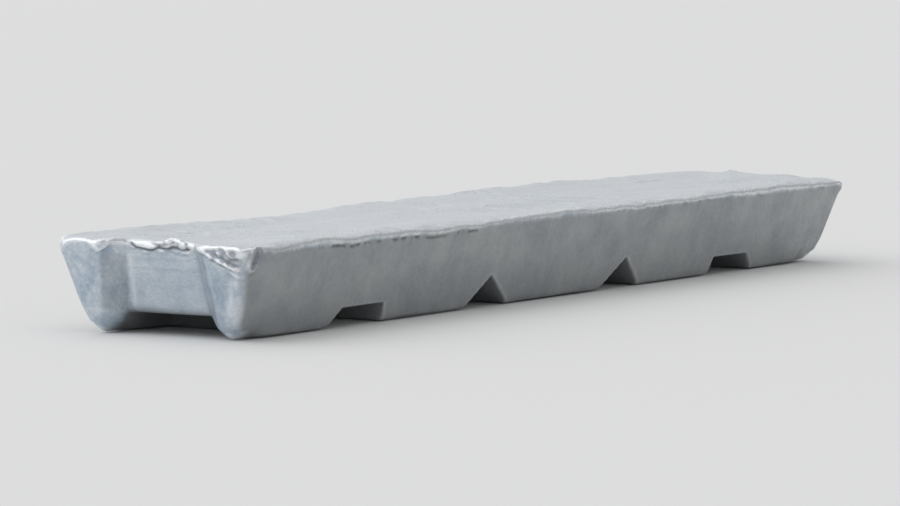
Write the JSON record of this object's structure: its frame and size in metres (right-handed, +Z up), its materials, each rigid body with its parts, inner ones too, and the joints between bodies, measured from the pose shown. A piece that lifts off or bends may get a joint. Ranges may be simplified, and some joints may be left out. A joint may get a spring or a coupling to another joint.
{
  "type": "aluminium ingot",
  "caption": "Long drafted bar of cast aluminium: wide pour face, recessed lobed ends, and break and strap notches across its narrow underside.",
  "frame": {"origin": "centre of the underside, on the floor plane", "axes": "+X along the ingot, +Y across it, +Z up from the narrow moulded underside to the wide pour face"},
  "size_m": [0.728, 0.1056, 0.047],
  "materials": {
    "cast_aluminium": "as-cast, matte to satin with brighter round edges"
  },
  "bodies": {
    "root": {"ingot": "cast_aluminium"}
  },
  "joints": []
}
